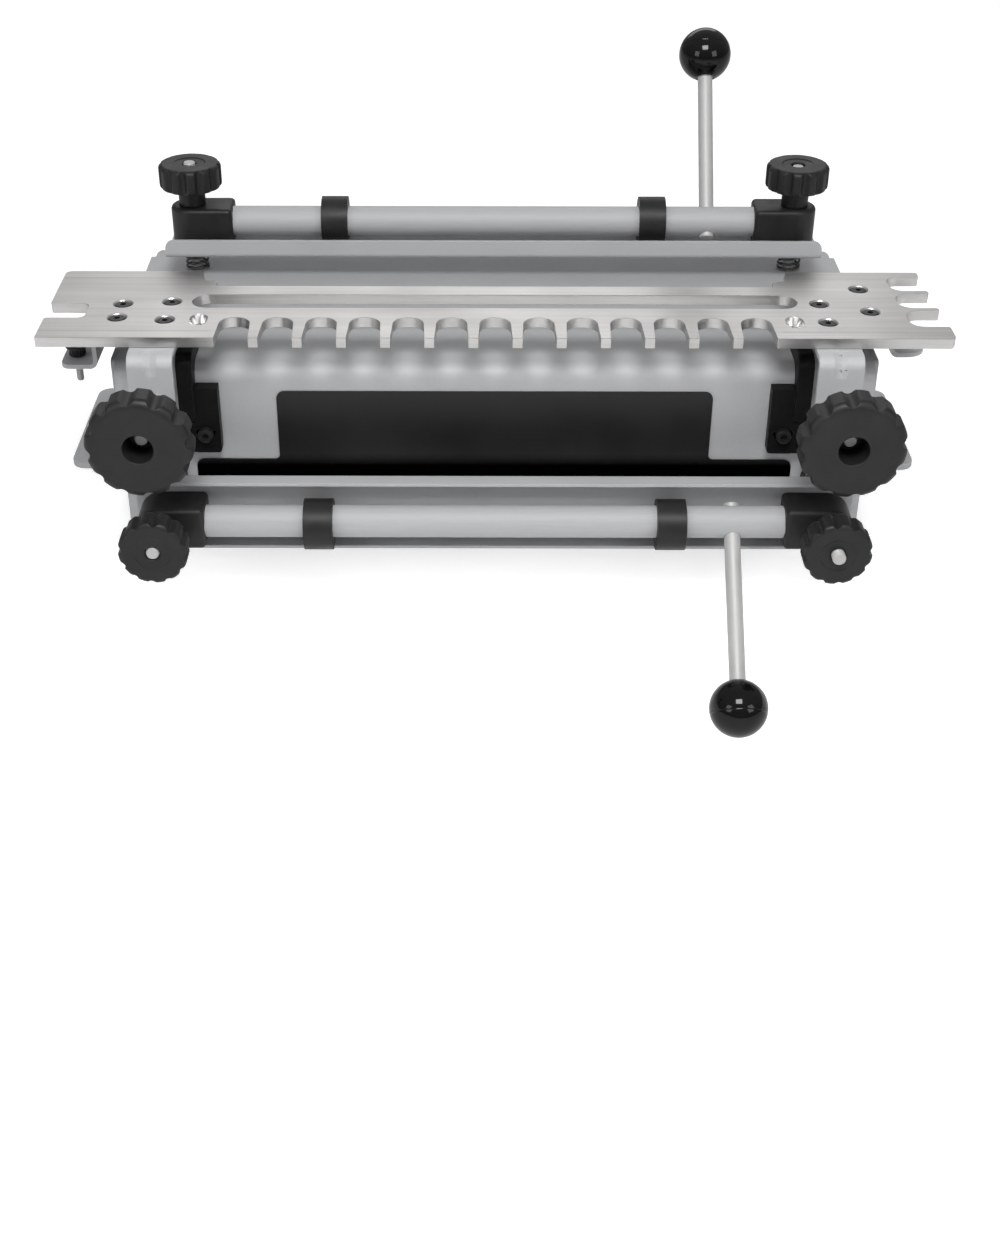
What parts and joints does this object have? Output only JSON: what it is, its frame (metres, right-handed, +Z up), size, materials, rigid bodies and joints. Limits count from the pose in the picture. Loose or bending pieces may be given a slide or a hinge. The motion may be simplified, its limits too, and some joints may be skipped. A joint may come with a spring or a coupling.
{
  "type": "dovetail jig",
  "caption": "Bench-mounted dovetail jig: folded steel body, two cam-lever board clamps with knobs and springs, and a finger template on slotted brackets.",
  "frame": {"origin": "middle of the base plate's underside, on the bench face", "axes": "+X along the jig to its right, +Y to the back, +Z up; the upright board clamps on the -Y side"},
  "size_m": [0.5568, 0.3982, 0.3016],
  "materials": {
    "silver_paint": "satin silver-grey powder coat",
    "brushed_aluminium": "bare aluminium with fine lengthwise brush lines",
    "satin_steel": "satin grey tube",
    "zinc_steel": "bright zinc plate",
    "black_plastic": "satin black moulded plastic",
    "gloss_black": "polished black phenolic",
    "black_oxide": "black oxide",
    "spring_wire": "dark spring steel",
    "label_black": "black printed film, plain"
  },
  "bodies": {
    "frame": {"base_plate": "silver_paint", "body_shell": "silver_paint", "name_label": "label_black", "upper_stud_left": "zinc_steel", "upper_stud_right": "zinc_steel", "lower_stud_left": "zinc_steel", "lower_stud_right": "zinc_steel", "template_stud_left": "zinc_steel", "template_stud_right": "zinc_steel", "stop_screw_left": "black_oxide", "stop_screw_right": "black_oxide"},
    "board_stop_left": {"board_stop_left": "black_plastic"},
    "board_stop_right": {"board_stop_right": "black_plastic"},
    "upper_clamp": {"upper_end_block_left": "black_plastic", "upper_end_block_right": "black_plastic"},
    "upper_bar": {"upper_pressure_bar": "silver_paint", "upper_spring_left": "spring_wire", "upper_spring_right": "spring_wire"},
    "upper_cam": {"upper_cam_tube": "satin_steel", "upper_cam_left": "black_plastic", "upper_cam_right": "black_plastic", "upper_lever_rod": "zinc_steel", "upper_lever_ball": "gloss_black"},
    "upper_knob_left": {"upper_knob_left": "black_plastic"},
    "upper_knob_right": {"upper_knob_right": "black_plastic"},
    "lower_clamp": {"lower_end_block_left": "black_plastic", "lower_end_block_right": "black_plastic"},
    "lower_bar": {"lower_pressure_bar": "silver_paint", "lower_spring_left": "spring_wire", "lower_spring_right": "spring_wire"},
    "lower_cam": {"lower_cam_tube": "satin_steel", "lower_cam_left": "black_plastic", "lower_cam_right": "black_plastic", "lower_lever_rod": "zinc_steel", "lower_lever_ball": "gloss_black"},
    "lower_knob_left": {"lower_knob_left": "black_plastic"},
    "lower_knob_right": {"lower_knob_right": "black_plastic"},
    "template": {"template_plate": "brushed_aluminium", "fork_bracket_left": "silver_paint", "fork_bracket_right": "silver_paint", "bracket_screw_1": "black_oxide", "bracket_screw_2": "black_oxide", "bracket_screw_3": "black_oxide", "bracket_screw_4": "black_oxide", "gauge_screw_1": "black_oxide", "gauge_screw_2": "black_oxide", "gauge_screw_3": "black_oxide", "gauge_screw_4": "black_oxide", "gauge_screw_nut_1": "black_oxide", "gauge_screw_nut_2": "black_oxide", "gauge_bracket_left": "silver_paint", "gauge_bracket_right": "silver_paint", "gauge_stud": "zinc_steel"},
    "gauge_thumb_nut": {"gauge_thumb_nut": "black_oxide"},
    "gauge_flange_nut": {"gauge_flange_nut": "black_oxide"},
    "template_washer_left": {"template_washer_left": "zinc_steel"},
    "template_knob_left": {"template_knob_left": "black_plastic"},
    "template_washer_right": {"template_washer_right": "zinc_steel"},
    "template_knob_right": {"template_knob_right": "black_plastic"}
  },
  "joints": [
    {"name": "upper_clamp_slide", "type": "slide", "parent": "frame", "child": "upper_clamp", "axis": [0, 0, 1], "range_m": [-0.0051, 0.0141], "deforming": ["upper_spring_left", "upper_spring_right"]},
    {"name": "upper_bar_slide", "type": "slide", "parent": "upper_clamp", "child": "upper_bar", "axis": [0, 0, -1], "range_m": [-0.0014, 0.0016]},
    {"name": "upper_lever_turn", "type": "hinge", "parent": "upper_clamp", "child": "upper_cam", "pos_m": [0, 0.0596, 0.142], "axis": [-1, 0, 0], "range_deg": [-37, 46]},
    {"name": "upper_knob_left_turn", "type": "hinge", "parent": "upper_clamp", "child": "upper_knob_left", "pos_m": [-0.1956, 0.0596, 0.142], "axis": [0, 0, 1], "range_deg": [-1336.6, 3634.5]},
    {"name": "upper_knob_right_turn", "type": "hinge", "parent": "upper_clamp", "child": "upper_knob_right", "pos_m": [0.1956, 0.0596, 0.142], "axis": [0, 0, 1], "range_deg": [-1336.6, 3634.5]},
    {"name": "lower_clamp_slide", "type": "slide", "parent": "frame", "child": "lower_clamp", "axis": [0, -1, 0], "range_m": [-0.0311, 0.0041], "deforming": ["lower_spring_left", "lower_spring_right"]},
    {"name": "lower_bar_slide", "type": "slide", "parent": "lower_clamp", "child": "lower_bar", "axis": [0, 1, 0], "range_m": [-0.0014, 0.0016]},
    {"name": "lower_lever_turn", "type": "hinge", "parent": "lower_clamp", "child": "lower_cam", "pos_m": [0, -0.1508, 0.0373], "axis": [1, 0, 0], "range_deg": [-40, 40]},
    {"name": "lower_knob_left_turn", "type": "hinge", "parent": "lower_clamp", "child": "lower_knob_left", "pos_m": [-0.1956, -0.1508, 0.0373], "axis": [0, -1, 0], "range_deg": [-7974.9, 1081.3]},
    {"name": "lower_knob_right_turn", "type": "hinge", "parent": "lower_clamp", "child": "lower_knob_right", "pos_m": [0.1956, -0.1508, 0.0373], "axis": [0, -1, 0], "range_deg": [-7974.9, 1081.3]},
    {"name": "template_lift", "type": "slide", "parent": "frame", "child": "template", "axis": [0, 0, 1], "range_m": [-0.006, 0.022]},
    {"name": "template_washer_left_slide", "type": "slide", "parent": "frame", "child": "template_washer_left", "axis": [0, -1, 0], "range_m": [0, 0.00285]},
    {"name": "template_knob_left_turn", "type": "hinge", "parent": "template_washer_left", "child": "template_knob_left", "pos_m": [-0.1995, -0.15, 0.0983], "axis": [0, -1, 0], "range_deg": [-30, 760]},
    {"name": "board_stop_left_slide", "type": "slide", "parent": "frame", "child": "board_stop_left", "axis": [1, 0, 0], "range_m": [-0.0028, 0.0028]},
    {"name": "template_washer_right_slide", "type": "slide", "parent": "frame", "child": "template_washer_right", "axis": [0, -1, 0], "range_m": [0, 0.00285]},
    {"name": "template_knob_right_turn", "type": "hinge", "parent": "template_washer_right", "child": "template_knob_right", "pos_m": [0.1995, -0.15, 0.0983], "axis": [0, -1, 0], "range_deg": [-30, 760]},
    {"name": "board_stop_right_slide", "type": "slide", "parent": "frame", "child": "board_stop_right", "axis": [1, 0, 0], "range_m": [-0.0028, 0.0028]},
    {"name": "gauge_thumb_nut_turn", "type": "hinge", "parent": "template", "child": "gauge_thumb_nut", "pos_m": [-0.2495, -0.08, 0.113], "axis": [0, 0, 1], "continuous": true},
    {"name": "gauge_flange_nut_turn", "type": "hinge", "parent": "template", "child": "gauge_flange_nut", "pos_m": [-0.2495, -0.08, 0.118], "axis": [0, 0, 1], "continuous": true}
  ],
  "couplings": [
    {"joint": "upper_bar_slide", "follows": "upper_lever_turn", "m_per_rad": 0.0018},
    {"joint": "upper_knob_left_turn", "follows": "upper_clamp_slide", "rad_per_m": 4456.2},
    {"joint": "upper_knob_right_turn", "follows": "upper_clamp_slide", "rad_per_m": 4456.2},
    {"joint": "lower_bar_slide", "follows": "lower_lever_turn", "m_per_rad": 0.0018},
    {"joint": "lower_knob_left_turn", "follows": "lower_clamp_slide", "rad_per_m": 4456.2},
    {"joint": "lower_knob_right_turn", "follows": "lower_clamp_slide", "rad_per_m": 4456.2},
    {"joint": "template_knob_left_turn", "follows": "template_washer_left_slide", "rad_per_m": 4456.2},
    {"joint": "template_knob_right_turn", "follows": "template_washer_right_slide", "rad_per_m": 4456.2}
  ]
}
